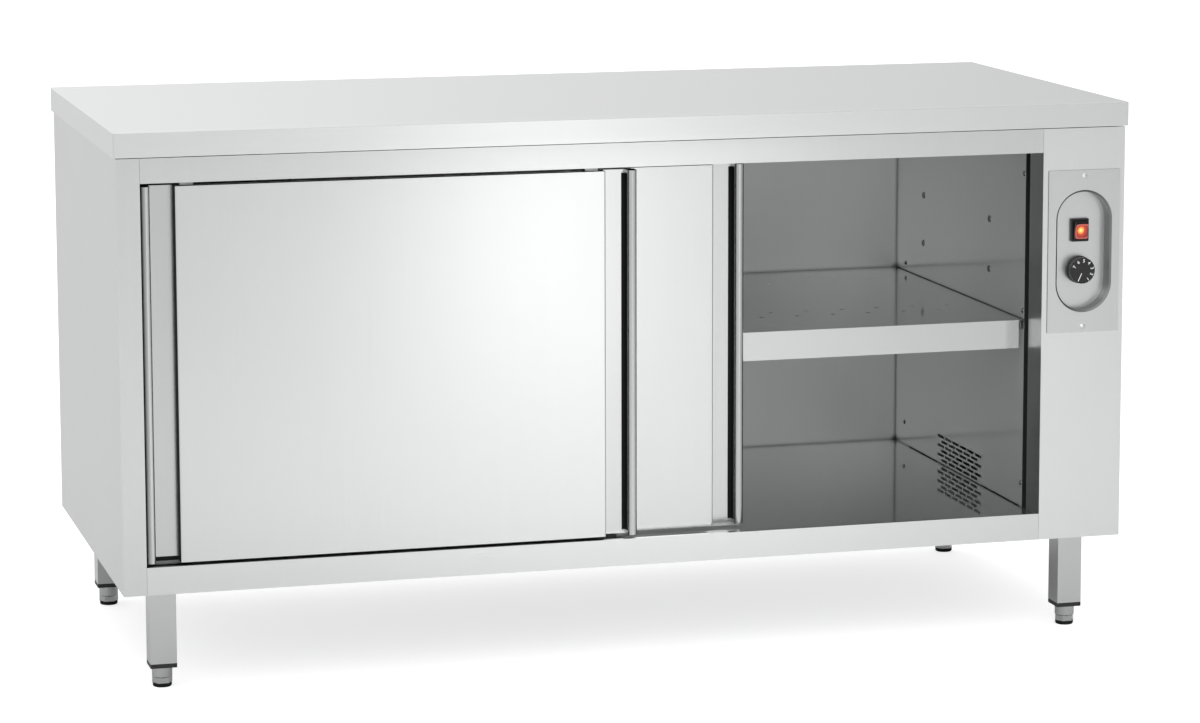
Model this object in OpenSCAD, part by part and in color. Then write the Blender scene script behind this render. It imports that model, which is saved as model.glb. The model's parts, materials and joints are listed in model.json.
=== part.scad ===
// Plate warmer cabinet: a heated stainless steel cupboard on four legs, with two sliding doors.
// Millimetres. X runs to the right, Y to the back, Z up. The origin is on the floor, under the
// middle of the worktop. The front of the cabinet faces -Y.

/* [Worktop] */
// Width of the worktop
top_w = 1600; // [1400:10:1900]
// Depth of the worktop
top_d = 700; // [680:5:800]
// Height of the worktop above the floor
top_z = 850; // [840:5:920]
// Height of the worktop's turned-down edge
edge_h = 38; // [30:1:45]
// Thickness of the worktop sheet
top_t = 1.5; // [1:0.25:2]
// Width of the inward return under the turned-down edge
edge_return = 12; // [8:1:20]
// Radius of the worktop's corners and bends
top_r = 2; // [1:0.5:4]
// Overhang of the worktop over the body
overhang = 4; // [2:1:12]
// Height of the shadow gap between the body and the worktop's edge
top_gap = 1.5; // [1:0.5:4]
// Width of a stiffener under the worktop
stiffener_w = 90; // [60:5:120]

/* [Body] */
// Thickness of the body and liner sheets
sheet = 1.2; // [0.8:0.1:1.5]
// Height of the body's underside above the floor
body_bottom = 155; // [130:5:180]
// Width of the left front post
post_w = 35; // [28:1:50]
// Width of the control column at the right
column_w = 137; // [130:1:160]
// Depth of the posts' return behind the front
post_depth = 56; // [45:1:60]
// Width of the stiffening lips and flanges of the body panels
flange = 18; // [12:1:24]
// Height of the header above the doors
header_h = 37.5; // [36:0.5:50]
// Height of the rail under the doors
rail_h = 42; // [36:1:55]
// Depth of the floor below the rail's top edge
floor_drop = 5; // [2:1:8]
// Space between the back panel's outside and the inner back wall
back_space = 10; // [8:1:30]
// Width of the air gap between the right post and the duct panel
air_gap = 18; // [12:1:30]

/* [Doors] */
// Distance of the front door behind the front of the body
door_inset = 2; // [1:0.5:6]
// Thickness of a door
door_t = 26; // [24:1:30]
// Distance from the front door's face to the rear door's face
track_pitch = 33; // [32:1:38]
// Overlap of the two closed doors
door_overlap = 100; // [60:1:160]
// Clearance between a closed door and its post
door_side_gap = 1; // [0.5:0.5:3]
// Clearance between a door and the header
door_top_gap = 5.5; // [3:0.5:8]
// Clearance between a door and the rail's top edge
door_bottom_gap = 5; // [3:0.5:10]
// Depth of the grip channels
grip_depth = 20; // [14:1:21]
// Width of the grip channels
grip_w = 36; // [30:0.5:50]
// Diameter of the rounded handle bars
bar_d = 14.5; // [10:0.5:16]
// Radius of the door panel's front bends
door_bend = 2.5; // [2:0.5:5]
// How far the right door stands open in the rest pose
right_door_open = 478; // [0:1:600]

/* [Door gear] */
// Distance of a hanger's middle from the door's end
hanger_inset = 70; // [65:1:120]
// Width of a hanger plate
hanger_w = 20; // [14:1:30]
// Thickness of a hanger plate
hanger_t = 3; // [2:0.5:4]
// Radius of the track wheels
wheel_r = 10; // [8:0.5:11]
// Width of a track wheel
wheel_w = 6; // [4:0.5:7]
// Radius of the wheels' axle
axle_r = 2.5; // [2:0.25:3]
// Wall thickness of the track
track_t = 1.5; // [1:0.25:2]
// Width of the slot that the hangers pass through
track_slot = 8; // [6:0.5:9]
// Length of the floor guide
guide_len = 40; // [20:1:60]

/* [Shelf] */
// Height of the shelf's top face above the floor
shelf_z = 497; // [460:1:520]
// Height of the shelf's front fold
shelf_fold = 45; // [30:1:60]
// Height of the shelf's side and rear folds
shelf_side_fold = 16.9; // [12:0.1:24]
// Clearance between the shelf and the back wall
shelf_gap = 1; // [0.5:0.5:4]
// How far the front fold's ends are set back from the walls
shelf_fold_setback = 7; // [4:1:15]
// Diameter of the shelf's perforations
shelf_hole_d = 8; // [5:1:14]
// Distance between perforations
shelf_hole_pitch = 60; // [40:5:120]
// Distance of the first row of perforations behind the shelf's front
hole_row_front = 137; // [60:1:160]
// Distance of the last row of perforations before the shelf's back
hole_row_rear = 68; // [40:1:100]
// Distance between the two front rows of perforations
hole_pair_front = 45; // [20:1:60]
// Distance between the two rear rows of perforations
hole_pair_rear = 62; // [20:1:80]
// Depth of the front pair of shelf pins behind the middle
pin_front_y = -112; // [-180:1:-60]
// Depth of the rear pair of shelf pins behind the middle
pin_rear_y = 202; // [120:1:260]
// Height step between the shelf positions
pin_pitch = 82; // [60:1:86]
// Radius of a shelf pin
pin_r = 5; // [3:0.5:6]
// Length of a shelf pin inside the cabinet
pin_len = 14; // [10:1:20]

/* [Air panel] */
// Length of an air slot
slot_len = 30; // [15:1:33]
// Height of an air slot
slot_h = 4.6; // [3:0.1:6]
// Distance between slots in a row
slot_pitch = 35.4; // [34:0.1:44]
// Distance between rows of slots
slot_row = 8; // [7:0.5:10]
// Rows of slots
slot_rows = 6; // [3:1:6]
// Slots in a full row
slot_cols = 6; // [4:1:8]
// Depth position of the slot field's middle
slot_y = 16; // [-40:1:60]
// Height of the relief along the air panel's lower edge
relief_h = 1.5; // [0.5:0.5:3]
// Length of the foot left in front of the relief
relief_front = 13; // [8:1:40]
// Length of the foot left behind the relief
relief_rear = 74; // [20:1:120]

/* [Controls] */
// Width of the control plate
plate_w = 120; // [112:1:128]
// Height of the control plate
plate_h = 258; // [236:1:300]
// Thickness of the control plate
plate_t = 2; // [1.5:0.25:3]
// Distance of the control plate's middle below the worktop's top face
plate_drop = 235; // [190:1:290]
// How far the control plate stands right of the column's middle
plate_shift = 0.5; // [-2:0.5:4]
// Width of the race-track recess
recess_w = 94; // [84:1:102]
// Height of the race-track recess
recess_h = 194.5; // [180:0.5:206]
// Depth of the recess
recess_d = 22; // [16:1:26]
// Distance of the switch above, and of the knob below, the plate's middle
control_offset = 31.5; // [28:0.5:36]
// Width of the switch's frame
switch_w = 29.5; // [24:0.5:32]
// Height of the switch's frame
switch_h = 36.5; // [34:0.5:42]
// How far the switch's frame stands off the recess floor
switch_rise = 5; // [4.5:0.5:8]
// Height of the rocker's pivot above the recess floor
rocker_pivot_h = 3; // [2.5:0.1:3.2]
// How far the pressed end of the rocker stands over the frame
rocker_proud = 4; // [1:0.5:5]
// Tilt of the rocker to either side
rocker_tilt = 10; // [6:1:12]
// Diameter of the knob
knob_d = 43.5; // [34:0.5:50]
// Height of the knob above the recess floor
knob_h = 20; // [14:0.5:24]
// Radius of the thermostat's spindle
spindle_r = 3; // [2:0.25:4]

/* [Fan and heater] */
// Outer radius of the cross-flow drum
drum_r = 30; // [26:1:32]
// Radius of the fan housing's back wall
scroll_r = 36; // [34:1:40]
// Blades of the drum
blades = 20; // [12:1:28]
// Radius of the heating tube
heater_r = 3.2; // [2.5:0.1:4]
// Distance between the heating tube's runs
heater_pitch = 12; // [10:0.5:13]

/* [Legs] */
// Width of the square leg tube
leg_w = 40; // [30:1:45]
// Wall of the leg tube
leg_t = 1.5; // [1:0.25:3]
// Distance of a leg's middle from the side and the front of the body
leg_inset = 65; // [62:1:90]
// Height of the leg tube's lower end above the floor
leg_bottom = 38; // [34:1:50]
// Height of the visible rim of a leg cap
cap_rim = 6.6; // [3:0.2:9]
// Diameter of a foot's sleeve
foot_d = 30.8; // [26:0.2:34]
// Height of a foot's pad
pad_h = 6; // [4:0.5:9]
// Radius of a foot's spindle
foot_spindle_r = 6; // [4:0.5:7]

/* [Hidden] */
$fn = 64;

steel = [0.80, 0.81, 0.81];
dark_steel = [0.62, 0.63, 0.64];
black = [0.08, 0.08, 0.09];
wool = [0.86, 0.80, 0.62];
red = [0.85, 0.16, 0.08];

// Clearances
fit = 0.3;          // between bodies, and of loose pieces in one body
run = 0.05;         // radial, between a shaft and its bore

// Body planes
body_w = top_w - 2 * overhang;
body_d = top_d - 2 * overhang;
x_l = -body_w / 2;
x_r = body_w / 2;
y_f = -body_d / 2;
y_b = body_d / 2;
body_top = top_z - edge_h - top_gap;
open_l = x_l + post_w;
open_r = x_r - column_w;
open_w = open_r - open_l;
open_top = body_top - header_h;
open_bottom = body_bottom + rail_h;
floor_z = open_bottom - floor_drop;
floor_fold = 20;
rail_ledge = 8;
ceiling_fold = 28;
post_back = y_f + post_depth;
liner_front = post_back + air_gap;
wall_back = y_b - back_space;
back_outer = y_b - sheet;
back_inner = back_outer - sheet;

// Doors
door_w = (open_w - 2 * door_side_gap + door_overlap) / 2;
door_y = [y_f + door_inset, y_f + door_inset + track_pitch];
door_bottom = open_bottom + door_bottom_gap;
door_top = open_top - door_top_gap;
door_closed_x = [open_l + door_side_gap, open_r - door_side_gap - door_w];
door_x = [door_closed_x[0], door_closed_x[1] - right_door_open];
grip_end = bar_d + grip_w;
hanger_flange = (door_t - track_slot) / 2 - sheet;
hanger_foot_t = 3;
hanger_foot_z = door_top - sheet - hanger_foot_t;

// Track
track_w = door_t;
track_bottom = open_top + 2;
track_top = body_top - sheet;
header_depth = track_pitch + track_w + door_inset;
wheel_z = track_bottom + track_t + fit + wheel_r;
wheel_y = hanger_t / 2 + 1 + wheel_w / 2;
axle_half = wheel_y + wheel_w / 2 + 0.6;
buffer_len = 15;
buffer_gap = 0.5;

// Floor guide: the doors' rear lips run in its slots
lip_bottom = floor_z + 3.5;
guide_slot = sheet + 1.4;
guide_wall = 6;
guide_base = 2.5;
guide_top = door_bottom - 2;

// Fasteners of the duct panel
screw_r = 4.5;
dome_h = 2;
screw_shank = 2;
duct_lip = 14;
screw_ys = [liner_front + 8, wall_back - 47];
screw_zs = [floor_z + 39.5, floor_z + 319, open_top - 42];

// Shelf positions, counted from the lowest
pin_z0 = shelf_z - shelf_side_fold - fit - pin_r;
pin_levels = [pin_z0, pin_z0 + pin_pitch, pin_z0 + 2 * pin_pitch];
pin_ys = [pin_front_y, pin_rear_y];
pin_shank_r = 3;
pin_hole_r = pin_shank_r + run;
pin_back = 5;
socket_flange_r = pin_shank_r + 2.5;
socket_flange_t = 1;
shelf_front = liner_front;
shelf_back = wall_back - shelf_gap;
shelf_l = open_l + dome_h + fit;
shelf_r = open_r - dome_h - fit;
hole_rows = [
    shelf_front + hole_row_front,
    shelf_front + hole_row_front + hole_pair_front,
    shelf_back - hole_row_rear - hole_pair_rear,
    shelf_back - hole_row_rear
];
shelf_return = 10;

// Controls
plate_x = (open_r + x_r) / 2 + plate_shift;
plate_z = top_z - plate_drop;
plate_front = y_f - plate_t;
recess_floor = plate_front + recess_d;
recess_back = recess_floor + sheet;
recess_lip = 3;
recess_r = recess_w / 2 - recess_lip;
recess_taper = 1;
recess_half = (recess_h - recess_w) / 2;
switch_z = plate_z + control_offset;
knob_z = plate_z - control_offset;
plate_screw_dz = plate_h / 2 - 9.5;
switch_frame = 3;
pocket_w = switch_w - 2 * switch_frame;
pocket_h = switch_h - 2 * switch_frame;
pocket_floor = 0.5;
switch_body_w = 20;
switch_body_h = 28;
switch_body_d = 26;
rocker_pivot_y = recess_floor - rocker_pivot_h;
rocker_r = pocket_h / 2 - 0.5;
rocker_face = asin((switch_rise + rocker_proud - rocker_pivot_h) / rocker_r) + rocker_tilt;
rocker_pin_r = 1.2;
component_face = x_r - sheet - 13;
component_y = y_f + 106;
component_w = 180;
component_z = plate_z - 93;
component_h = 220;
thermostat_w = 34;
thermostat_d = 26;
knob_gap = 0.5;

// Fan and heater, in the technical compartment behind the duct panel
duct_back = open_r + sheet;
housing_t = 1;
fan_x = duct_back + scroll_r + drum_r;
fan_z = floor_z + housing_t + scroll_r;
slot_top = floor_z + 47;
field_w = (slot_cols - 1) * slot_pitch + slot_len;
fan_y0 = slot_y - field_w / 2 - 4;
fan_y1 = slot_y + field_w / 2 + 4;
mouth_top = floor_z + 53;
drum_y0 = fan_y0 + 6;
drum_y1 = fan_y1 - 6;
drum_inner = drum_r - 7;
shaft_r = 3;
bearing_r = 7;
motor_w = 56;
motor_d = 24;
motor_boss_r = 9;
scroll_end = 70;
tongue_h = 12;
heater_x = duct_back + 16;
heater_z0 = floor_z + housing_t + 7;
heater_y0 = fan_y0 + 14;
heater_y1 = fan_y1 - 16;
heater_runs = 4;

// Cable gland, beside the right base rail
gland_x = x_r - 26;
gland_y = y_b - 46;
gland_thread_r = 8;
gland_hex_r = 12;
gland_bore_r = 5;

// Legs and feet
leg_x = body_w / 2 - leg_inset;
leg_y = body_d / 2 - leg_inset;
rail_web = 17;
bolt_r = 3;
bolt_hex_r = 5.8;
bolt_x = 23.5;
bolt_y = 35;
leg_plate_t = 4;
leg_plate_x = 60;
leg_plate_y = 90;
leg_plate_top = body_bottom + 7;
rail_top = floor_z - sheet;
cap_bottom = leg_bottom - cap_rim;
cap_insert = 25;
foot_top = cap_bottom - fit;
spindle_top = leg_bottom + cap_insert + 35;

// Left normal of the segment from a to b
function normal(a, b) = let (d = (b - a) / norm(b - a)) [-d[1], d[0]];

// A path moved sideways by d, with mitred corners; a positive d moves it to the left
function moved(path, d) = [
    for (i = [0 : len(path) - 1])
        let (
            before = normal(path[max(i - 1, 0)], path[max(i, 1)]),
            after = normal(path[min(i, len(path) - 2)], path[min(i + 1, len(path) - 1)])
        )
        path[i] + (before + after) * d / (1 + before * after)
];

// The points of an arc
function arc(centre, r, from, to, steps) = [
    for (i = [0 : steps])
        let (a = from + (to - from) * i / steps)
        centre + r * [cos(a), sin(a)]
];

// The outline of a folded sheet: a path and the same path moved by the sheet's thickness
module folded(path, t) {
    other = moved(path, t);
    polygon(concat(path, [for (i = [len(other) - 1 : -1 : 0]) other[i]]));
}

// Extrusions of an outline in (Y, Z), (X, Z) and (X, Y)
module along_x(from, to) {
    translate([from, 0, 0])
        rotate([90, 0, 90])
            linear_extrude(to - from)
                children();
}

module along_y(from, to) {
    translate([0, to, 0])
        rotate([90, 0, 0])
            linear_extrude(to - from)
                children();
}

module along_z(from, to) {
    translate([0, 0, from])
        linear_extrude(to - from)
            children();
}

// A block between two opposite corners
module block(low, high) {
    translate(low)
        cube(high - low);
}

// Round bars along each axis
module bar_x(y, z, r, from, to) {
    translate([from, y, z])
        rotate([0, 90, 0])
            cylinder(r = r, h = to - from);
}

module bar_y(x, z, r, from, to) {
    translate([x, to, z])
        rotate([90, 0, 0])
            cylinder(r = r, h = to - from);
}

module bar_z(x, y, r, from, to) {
    translate([x, y, from])
        cylinder(r = r, h = to - from);
}

// A rectangle with rounded corners
module rounded(low, high, r) {
    for (x = [low[0] + r, high[0] - r], y = [low[1] + r, high[1] - r])
        translate([x, y])
            circle(r);
    translate([low[0] + r, low[1]])
        square([high[0] - low[0] - 2 * r, high[1] - low[1]]);
    translate([low[0], low[1] + r])
        square([high[0] - low[0], high[1] - low[1] - 2 * r]);
}

// The worktop: a tray of folded sheet, open side down, with inward returns
module worktop() {
    half_w = top_w / 2;
    half_d = top_d / 2;
    edge_z = top_z - edge_h;
    color(steel)
        difference() {
            intersection() {
                along_z(edge_z, top_z)
                    rounded([-half_w, -half_d], [half_w, half_d], top_r);
                along_x(-half_w, half_w)
                    rounded([-half_d, edge_z - 2 * top_r], [half_d, top_z], top_r);
                along_y(-half_d, half_d)
                    rounded([-half_w, edge_z - 2 * top_r], [half_w, top_z], top_r);
            }
            block([-half_w + top_t, -half_d + top_t, edge_z + top_t],
                [half_w - top_t, half_d - top_t, top_z - top_t]);
            block([-half_w + edge_return, -half_d + edge_return, edge_z - 1],
                [half_w - edge_return, half_d - edge_return, edge_z + top_t + 1]);
        }
}

// Hat sections that stand on the body's top flanges and carry the worktop
module worktop_stiffeners() {
    low = body_top + sheet;
    high = top_z - top_t;
    foot = 20;
    reach = top_d / 2 - edge_return - 1;
    color(dark_steel)
        for (x = [-top_w / 3, 0, top_w / 3])
            translate([x, 0, 0])
                along_y(-reach, reach)
                    folded([
                        [-stiffener_w / 2, low],
                        [-stiffener_w / 2 + foot, low],
                        [-stiffener_w / 2 + foot, high],
                        [stiffener_w / 2 - foot, high],
                        [stiffener_w / 2 - foot, low],
                        [stiffener_w / 2, low]
                    ], -sheet);
}

// The inward flanges along the top and the underside of a side panel
module side_flanges(outer, sign) {
    inner = outer + sign * sheet;
    edge = outer + sign * (sheet + flange);
    for (z = [body_bottom, body_top - sheet])
        block([min(inner, edge), y_f + sheet, z],
            [max(inner, edge), back_inner - fit, z + sheet]);
}

// The left side panel: its front fold is the left post
module side_panel_left() {
    color(steel) {
        along_z(body_bottom, body_top)
            folded([
                [open_l - flange, post_back],
                [open_l, post_back],
                [open_l, y_f],
                [x_l, y_f],
                [x_l, y_b],
                [x_l + flange + sheet, y_b]
            ], -sheet);
        side_flanges(x_l, 1);
    }
}

// The race-track outline around the recess, in (X, Z)
module racetrack(r) {
    for (z = [-recess_half, recess_half])
        translate([plate_x, plate_z + z])
            circle(r);
    translate([plate_x - r, plate_z - recess_half])
        square([2 * r, 2 * recess_half]);
}

// The right side panel: its front fold is the control column
module side_panel_right() {
    color(steel)
        difference() {
            union() {
                along_z(body_bottom, body_top)
                    folded([
                        [open_r + flange, post_back],
                        [open_r, post_back],
                        [open_r, y_f],
                        [x_r, y_f],
                        [x_r, y_b],
                        [x_r - flange - sheet, y_b]
                    ], sheet);
                side_flanges(x_r, -1);
            }
            along_y(y_f - 1, y_f + sheet + 1)
                racetrack(recess_r + recess_lip + 1);
            for (z = [-plate_screw_dz, plate_screw_dz])
                bar_y(plate_x, plate_z + z, screw_shank + run, y_f - 1, y_f + sheet + 1);
        }
}

// The back panel, with forward flanges at its top and underside
module back_panel() {
    side = x_r - 2 * sheet - flange - 1;
    color(steel) {
        block([x_l + sheet, back_inner, body_bottom], [x_r - sheet, back_outer, body_top]);
        for (z = [body_bottom, body_top - sheet])
            block([-side, back_inner - flange, z], [side, back_inner, z + sheet]);
    }
}

// The header over the doors: front face, top flange and a hem at its lower edge
module top_header() {
    hem = 4;
    color(steel)
        along_x(open_l + fit, open_r - fit)
            folded([
                [y_f + hem, open_top],
                [y_f, open_top],
                [y_f, body_top],
                [y_f + header_depth + 2, body_top]
            ], -sheet);
}

// The rail under the doors: front face, rolled-back top edge and bottom return
module bottom_rail() {
    color(steel)
        along_x(open_l + fit, open_r - fit)
            folded([
                [y_f + flange, body_bottom],
                [y_f, body_bottom],
                [y_f, open_bottom],
                [y_f + rail_ledge, open_bottom],
                [y_f + rail_ledge, floor_z - floor_fold]
            ], -sheet);
}

// The floor: a tray with its edges folded down, notched round the posts
module floor_panel() {
    front = y_f + rail_ledge + fit;
    side = x_r - sheet;
    color(dark_steel)
        difference() {
            union() {
                block([-side, front, floor_z - sheet], [side, back_inner, floor_z]);
                for (x = [-side, side - sheet])
                    block([x, post_back + fit, floor_z - floor_fold],
                        [x + sheet, back_inner, floor_z]);
                block([-side, back_inner - sheet, floor_z - floor_fold], [side, back_inner, floor_z]);
                block([open_l + 1, front, floor_z - floor_fold], [open_r - 1, front + sheet, floor_z]);
            }
            block([-side - 1, front - 1, floor_z - floor_fold - 1],
                [open_l + fit, post_back + fit, floor_z + 1]);
            block([open_r - fit, front - 1, floor_z - floor_fold - 1],
                [side + 1, post_back + fit, floor_z + 1]);
            bar_z(gland_x, gland_y, gland_thread_r + run, floor_z - sheet - 1, floor_z + 1);
        }
}

// Hat rails under the floor, which the legs are bolted to
module base_rails() {
    low = leg_plate_top + sheet;
    reach = y_b - 16;
    color(dark_steel)
        for (x = [-leg_x, leg_x])
            translate([x, 0, 0])
                difference() {
                    along_y(-reach, reach)
                        folded([
                            [-leg_plate_x / 2, low],
                            [-rail_web, low],
                            [-rail_web, rail_top],
                            [rail_web, rail_top],
                            [rail_web, low],
                            [leg_plate_x / 2, low]
                        ], -sheet);
                    for (y = [-leg_y, leg_y])
                        translate([0, y, 0])
                            bolt_holes(leg_plate_top - 1, low + 1);
                }
}

// The four bolt holes around a leg's axis
module bolt_holes(from, to) {
    for (i = [-1, 1], j = [-1, 1])
        bar_z(i * bolt_x, j * bolt_y, bolt_r + run, from, to);
}

// The ceiling of the compartment, lying on the liners, with its front edge folded up
module ceiling_panel() {
    front = y_f + header_depth + 2 + fit;
    color(dark_steel)
        along_x(open_l - sheet, open_r + sheet)
            folded([
                [wall_back, open_top],
                [front, open_top],
                [front, open_top + ceiling_fold]
            ], -sheet);
}

// Places for the shelf pins and sockets on a side wall: one child per place
module shelf_places(levels) {
    for (y = pin_ys, z = levels)
        translate([0, y, z])
            children();
}

// The left liner
module liner_left() {
    color(dark_steel)
        difference() {
            block([open_l - sheet, post_back + fit, floor_z], [open_l, wall_back, open_top]);
            shelf_places(pin_levels)
                bar_x(0, 0, pin_hole_r, open_l - sheet - 1, open_l + 1);
        }
}

// The rear liner
module liner_back() {
    color(dark_steel)
        block([open_l - sheet, wall_back, floor_z], [open_r + sheet, wall_back + sheet, open_top]);
}

// The right liner: it hides the technical compartment, holds the slot field and stands on two feet
module duct_panel() {
    color(dark_steel)
        difference() {
            along_z(floor_z, open_top)
                folded([
                    [open_r + duct_lip, liner_front],
                    [open_r, liner_front],
                    [open_r, wall_back]
                ], -sheet);
            shelf_places(pin_levels)
                bar_x(0, 0, pin_hole_r, open_r - 1, open_r + sheet + 1);
            for (y = screw_ys, z = screw_zs)
                bar_x(y, z, screw_shank + run, open_r - 1, open_r + sheet + 1);
            block([open_r - 1, liner_front + relief_front, floor_z - 1],
                [open_r + sheet + 1, wall_back - relief_rear, floor_z + relief_h]);
            for (row = [0 : slot_rows - 1]) {
                shifted = row % 2;
                first = slot_y - field_w / 2 + shifted * slot_pitch / 2;
                z = slot_top - row * slot_row;
                for (i = [0 : slot_cols - 1 - shifted])
                    block([open_r - 1, first + i * slot_pitch, z - slot_h / 2],
                        [open_r + sheet + 1, first + i * slot_pitch + slot_len, z + slot_h / 2]);
            }
        }
}

// Insulation boards behind the left liner, behind the rear liner and over the ceiling
module insulation_boards() {
    color(wool) {
        block([x_l + sheet + fit, post_back + 2, floor_z + 1],
            [open_l - sheet - pin_back - 1, wall_back - 1, open_top - 1]);
        block([open_l + 2, wall_back + sheet + fit, floor_z + 1],
            [open_r - 2, back_inner - fit, open_top - 1]);
        block([open_l + 2, y_f + header_depth + 6, open_top + sheet + fit],
            [open_r - 2, back_inner - flange - 1, body_top - sheet - fit]);
    }
}

// The twin door track: two channels with a slot below, hung under the header's top flange
module door_track() {
    inner_w = track_w - 2 * track_t;
    color(steel)
        along_x(open_l + fit, open_r - fit)
            difference() {
                translate([door_y[0], track_bottom])
                    square([track_pitch + track_w, track_top - track_bottom]);
                translate([door_y[0] + track_w, track_bottom - 1])
                    square([track_pitch - track_w, track_top - track_bottom + 1 - track_t]);
                for (y = door_y) {
                    translate([y + track_t, track_bottom + track_t])
                        square([inner_w, track_top - track_bottom - 2 * track_t]);
                    translate([y + (track_w - track_slot) / 2, track_bottom - 1])
                        square([track_slot, track_t + 2]);
                }
            }
}

// Rubber stops inside both ends of each channel
module track_buffers() {
    nose_r = 6;
    nose_len = 5;
    left = open_l + door_side_gap + hanger_inset - wheel_r - buffer_gap;
    right = open_r - door_side_gap - hanger_inset + wheel_r + buffer_gap;
    color(black)
        for (y = door_y) {
            low_y = y + track_t + fit;
            high_y = y + track_w - track_t - fit;
            low_z = track_bottom + track_t;
            high_z = track_top - track_t - fit;
            mid_y = y + track_w / 2;
            block([left - buffer_len, low_y, low_z], [left - nose_len, high_y, high_z]);
            bar_x(mid_y, wheel_z, nose_r, left - nose_len, left);
            block([right + nose_len, low_y, low_z], [right + buffer_len, high_y, high_z]);
            bar_x(mid_y, wheel_z, nose_r, right, right + nose_len);
        }
}

// The floor guide: the rear lips of both doors run in its slots
module floor_guides() {
    middle = (door_closed_x[0] + door_w + door_closed_x[1]) / 2;
    lips = [for (y = door_y) y + door_t - sheet / 2];
    reach = guide_slot / 2 + guide_wall;
    color(black)
        along_x(middle - guide_len / 2, middle + guide_len / 2)
            difference() {
                translate([lips[0] - reach, floor_z])
                    square([track_pitch + 2 * reach, guide_top - floor_z]);
                for (y = lips)
                    translate([y - guide_slot / 2, floor_z + guide_base])
                        square([guide_slot, guide_top]);
                translate([lips[0] + reach, floor_z + guide_base])
                    square([track_pitch - 2 * reach, guide_top]);
            }
}

// A shelf pin, pointing along +X from the wall face at X = 0
module shelf_pin() {
    shoulder_r = pin_r + 1.5;
    nut_r = 5;
    bar_x(0, 0, pin_r, 0, pin_len);
    bar_x(0, 0, shoulder_r, pin_len - 2, pin_len);
    bar_x(0, 0, pin_shank_r, -sheet - pin_back, pin_len);
    bar_x(0, 0, nut_r, -sheet - pin_back, -sheet);
}

// A socket for a shelf pin, seated on the wall face at X = 0
module shelf_socket() {
    barrel_r = pin_shank_r + 1;
    difference() {
        union() {
            bar_x(0, 0, socket_flange_r, 0, socket_flange_t);
            bar_x(0, 0, pin_shank_r, -sheet - pin_back, socket_flange_t);
            bar_x(0, 0, barrel_r, -sheet - pin_back, -sheet);
        }
        bar_x(0, 0, pin_shank_r - 1, -sheet - pin_back + 1, socket_flange_t + 1);
    }
}

// One child on both side walls of the compartment
module both_walls() {
    translate([open_l, 0, 0])
        children();
    translate([open_r, 0, 0])
        mirror([1, 0, 0])
            children();
}

module shelf_pins() {
    color(steel)
        both_walls()
            shelf_places([pin_levels[0]])
                shelf_pin();
}

module shelf_sockets() {
    color(steel)
        both_walls()
            shelf_places([pin_levels[1], pin_levels[2]])
                shelf_socket();
}

// A dome-head screw with its head on the plane Z = 0, pointing down
module dome_screw(len) {
    dome_r = (screw_r * screw_r + dome_h * dome_h) / (2 * dome_h);
    intersection() {
        cylinder(r = screw_r, h = dome_h);
        translate([0, 0, dome_h - dome_r])
            sphere(dome_r);
    }
    translate([0, 0, -len])
        cylinder(r = screw_shank, h = len);
}

// The screws of the duct panel and of the control plate
module panel_screws() {
    color(steel) {
        for (y = screw_ys, z = screw_zs)
            translate([open_r, y, z])
                rotate([0, -90, 0])
                    dome_screw(sheet + 6);
        for (z = [-plate_screw_dz, plate_screw_dz])
            translate([plate_x, plate_front, plate_z + z])
                rotate([90, 0, 0])
                    dome_screw(plate_t + sheet + 6);
    }
}

// A leg: square tube with a bolting plate on top
module leg(x, y) {
    half = leg_w / 2;
    inner = half - leg_t;
    plate_z0 = leg_plate_top - leg_plate_t;
    color(steel)
        difference() {
            union() {
                block([x - half, y - half, leg_bottom], [x + half, y + half, plate_z0]);
                block([x - leg_plate_x / 2, y - leg_plate_y / 2, plate_z0],
                    [x + leg_plate_x / 2, y + leg_plate_y / 2, leg_plate_top]);
            }
            block([x - inner, y - inner, leg_bottom - 1], [x + inner, y + inner, plate_z0]);
            translate([x, y, 0])
                bolt_holes(plate_z0 - 1, leg_plate_top + 1);
        }
}

module leg_fl() { leg(-leg_x, -leg_y); }
module leg_fr() { leg(leg_x, -leg_y); }
module leg_rl() { leg(-leg_x, leg_y); }
module leg_rr() { leg(leg_x, leg_y); }

// Caps in the lower ends of the legs; the feet's spindles run in their bores
module leg_caps() {
    rim = leg_w / 2;
    insert = leg_w / 2 - leg_t - fit;
    color(black)
        for (x = [-leg_x, leg_x], y = [-leg_y, leg_y])
            difference() {
                union() {
                    block([x - rim, y - rim, cap_bottom], [x + rim, y + rim, leg_bottom]);
                    block([x - insert, y - insert, leg_bottom],
                        [x + insert, y + insert, leg_bottom + cap_insert]);
                }
                bar_z(x, y, foot_spindle_r + run, cap_bottom - 1, leg_bottom + cap_insert + 1);
            }
}

// A foot: a pad, a sleeve that turns from hexagonal to round, and a spindle
module foot(x, y) {
    r = foot_d / 2;
    flat = r * cos(30);
    hex_top = pad_h + 8;
    translate([x, y, 0]) {
        color(black)
            rotate_extrude()
                polygon([[0, 0], [r - 2.5, 0], [r - 1, 1.5], [r - 1, pad_h], [0, pad_h]]);
        color(steel) {
            translate([0, 0, pad_h])
                cylinder(r = r, h = hex_top - pad_h + 1, $fn = 6);
            intersection() {
                translate([0, 0, hex_top])
                    cylinder(r1 = flat, r2 = r + 3, h = r + 3 - flat);
                translate([0, 0, hex_top])
                    cylinder(r = r, h = foot_top - hex_top);
            }
            translate([0, 0, hex_top + r + 3 - flat])
                cylinder(r = r, h = foot_top - hex_top - r - 3 + flat);
            translate([0, 0, pad_h])
                cylinder(r = foot_spindle_r, h = spindle_top - pad_h);
        }
    }
}

module foot_fl() { foot(-leg_x, -leg_y); }
module foot_fr() { foot(leg_x, -leg_y); }
module foot_rl() { foot(-leg_x, leg_y); }
module foot_rr() { foot(leg_x, leg_y); }

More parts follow.
